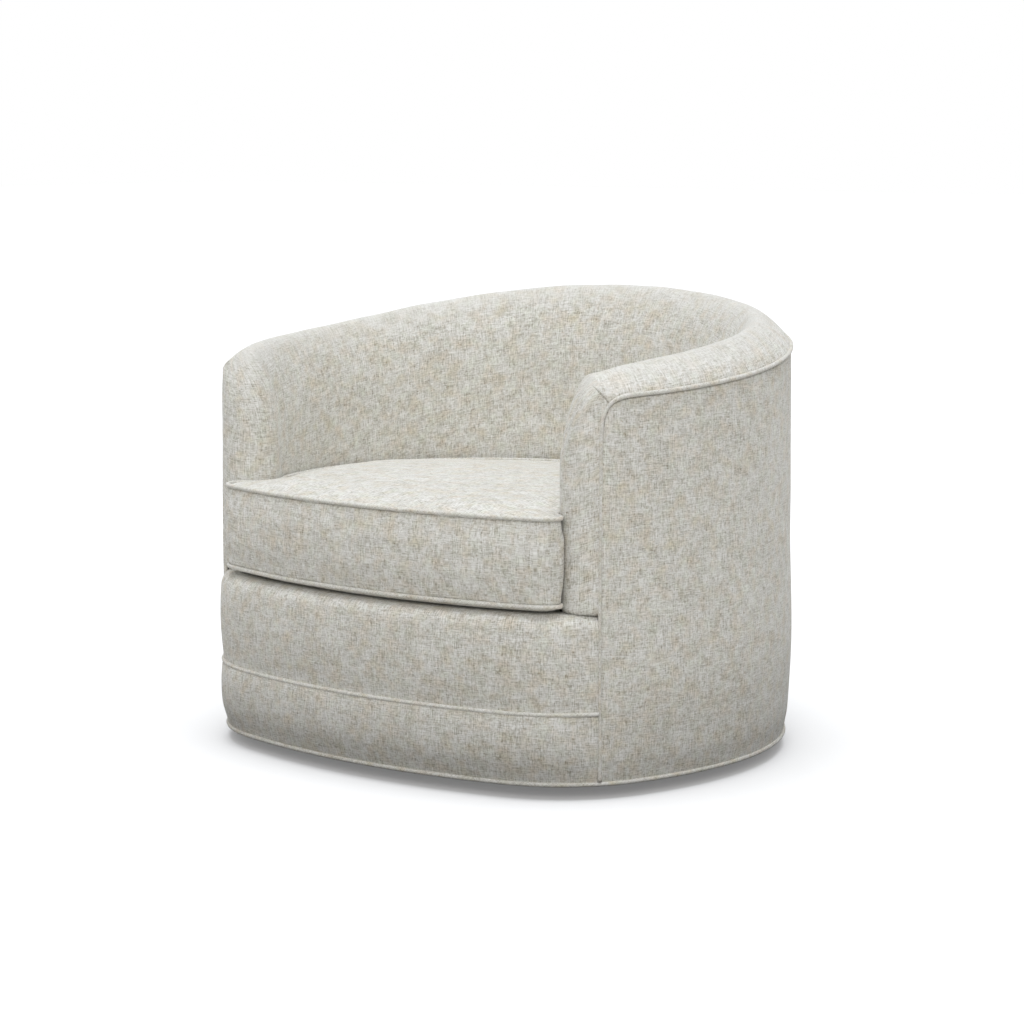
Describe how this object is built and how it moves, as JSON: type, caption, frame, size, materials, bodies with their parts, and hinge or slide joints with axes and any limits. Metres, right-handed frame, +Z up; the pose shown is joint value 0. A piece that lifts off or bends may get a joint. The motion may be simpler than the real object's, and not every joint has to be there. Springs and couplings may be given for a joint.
{
  "type": "swivel barrel chair",
  "caption": "Upholstered barrel armchair with sloping rolled arms, loose box cushion and a hidden swivel ring base.",
  "frame": {"origin": "on the floor under the middle of the chair's bounding box", "axes": "+Z up, the chair faces -Y, +X is the sitter's left; the seat turns about Z through the origin"},
  "size_m": [0.863, 0.7896, 0.68],
  "materials": {
    "linen": "matt oatmeal linen weave",
    "linen_welt": "matt oatmeal linen weave",
    "deck_cloth": "plain cotton deck cloth",
    "cambric": "black non-woven cloth",
    "frame_wood": "planed, unfinished",
    "black_steel": "satin black",
    "bright_steel": "zinc plated",
    "nylon": "smooth"
  },
  "bodies": {
    "swivel_base": {"lower_bearing_plate": "black_steel", "ball_cage": "bright_steel", "pivot_rivet": "bright_steel", "base_ring": "black_steel", "base_arm_1": "black_steel", "base_arm_2": "black_steel", "base_arm_3": "black_steel", "base_arm_4": "black_steel", "floor_glide_1": "nylon", "floor_glide_2": "nylon", "floor_glide_3": "nylon", "floor_glide_4": "nylon"},
    "seat_shell": {"outside_cover": "linen", "inside_back_and_arm_pad": "linen", "arm_front_pad_left": "linen", "arm_front_pad_right": "linen", "front_rail_pad": "linen", "front_base_band": "linen", "top_and_corner_welt": "linen_welt", "front_band_welt": "linen_welt", "base_welt": "linen_welt", "lower_frame_hoop": "frame_wood", "seat_ring_plywood": "frame_wood", "front_seat_board": "frame_wood", "top_rail": "frame_wood", "arm_post_left": "frame_wood", "arm_post_right": "frame_wood", "back_post_1": "frame_wood", "back_post_2": "frame_wood", "back_post_3": "frame_wood", "lower_post_1": "frame_wood", "lower_post_2": "frame_wood", "lower_post_3": "frame_wood", "lower_post_4": "frame_wood", "swivel_cross_rail_front": "frame_wood", "swivel_cross_rail_rear": "frame_wood", "seat_spring_1": "bright_steel", "seat_spring_2": "bright_steel", "seat_spring_3": "bright_steel", "seat_spring_4": "bright_steel", "spring_clip_front_1": "black_steel", "spring_clip_front_2": "black_steel", "spring_clip_front_3": "black_steel", "spring_clip_front_4": "black_steel", "spring_clip_rear_1": "black_steel", "spring_clip_rear_2": "black_steel", "spring_clip_rear_3": "black_steel", "spring_clip_rear_4": "black_steel", "seat_deck_pad": "deck_cloth", "dust_cover": "cambric", "upper_bearing_plate": "bright_steel", "plate_bolt_1": "bright_steel", "plate_bolt_2": "bright_steel", "plate_bolt_3": "bright_steel", "plate_bolt_4": "bright_steel"},
    "loose_cushion": {"seat_cushion": "linen", "cushion_zip": "linen_welt", "cushion_top_welt": "linen_welt", "cushion_bottom_welt": "linen_welt"}
  },
  "joints": [
    {"name": "seat_swivel", "type": "hinge", "parent": "swivel_base", "child": "seat_shell", "pos_m": [0, 0, 0.07], "axis": [0, 0, 1], "continuous": true},
    {"name": "cushion_lift_off", "type": "slide", "parent": "seat_shell", "child": "loose_cushion", "axis": [0, 0, 1], "range_m": [0, 0.3]}
  ]
}
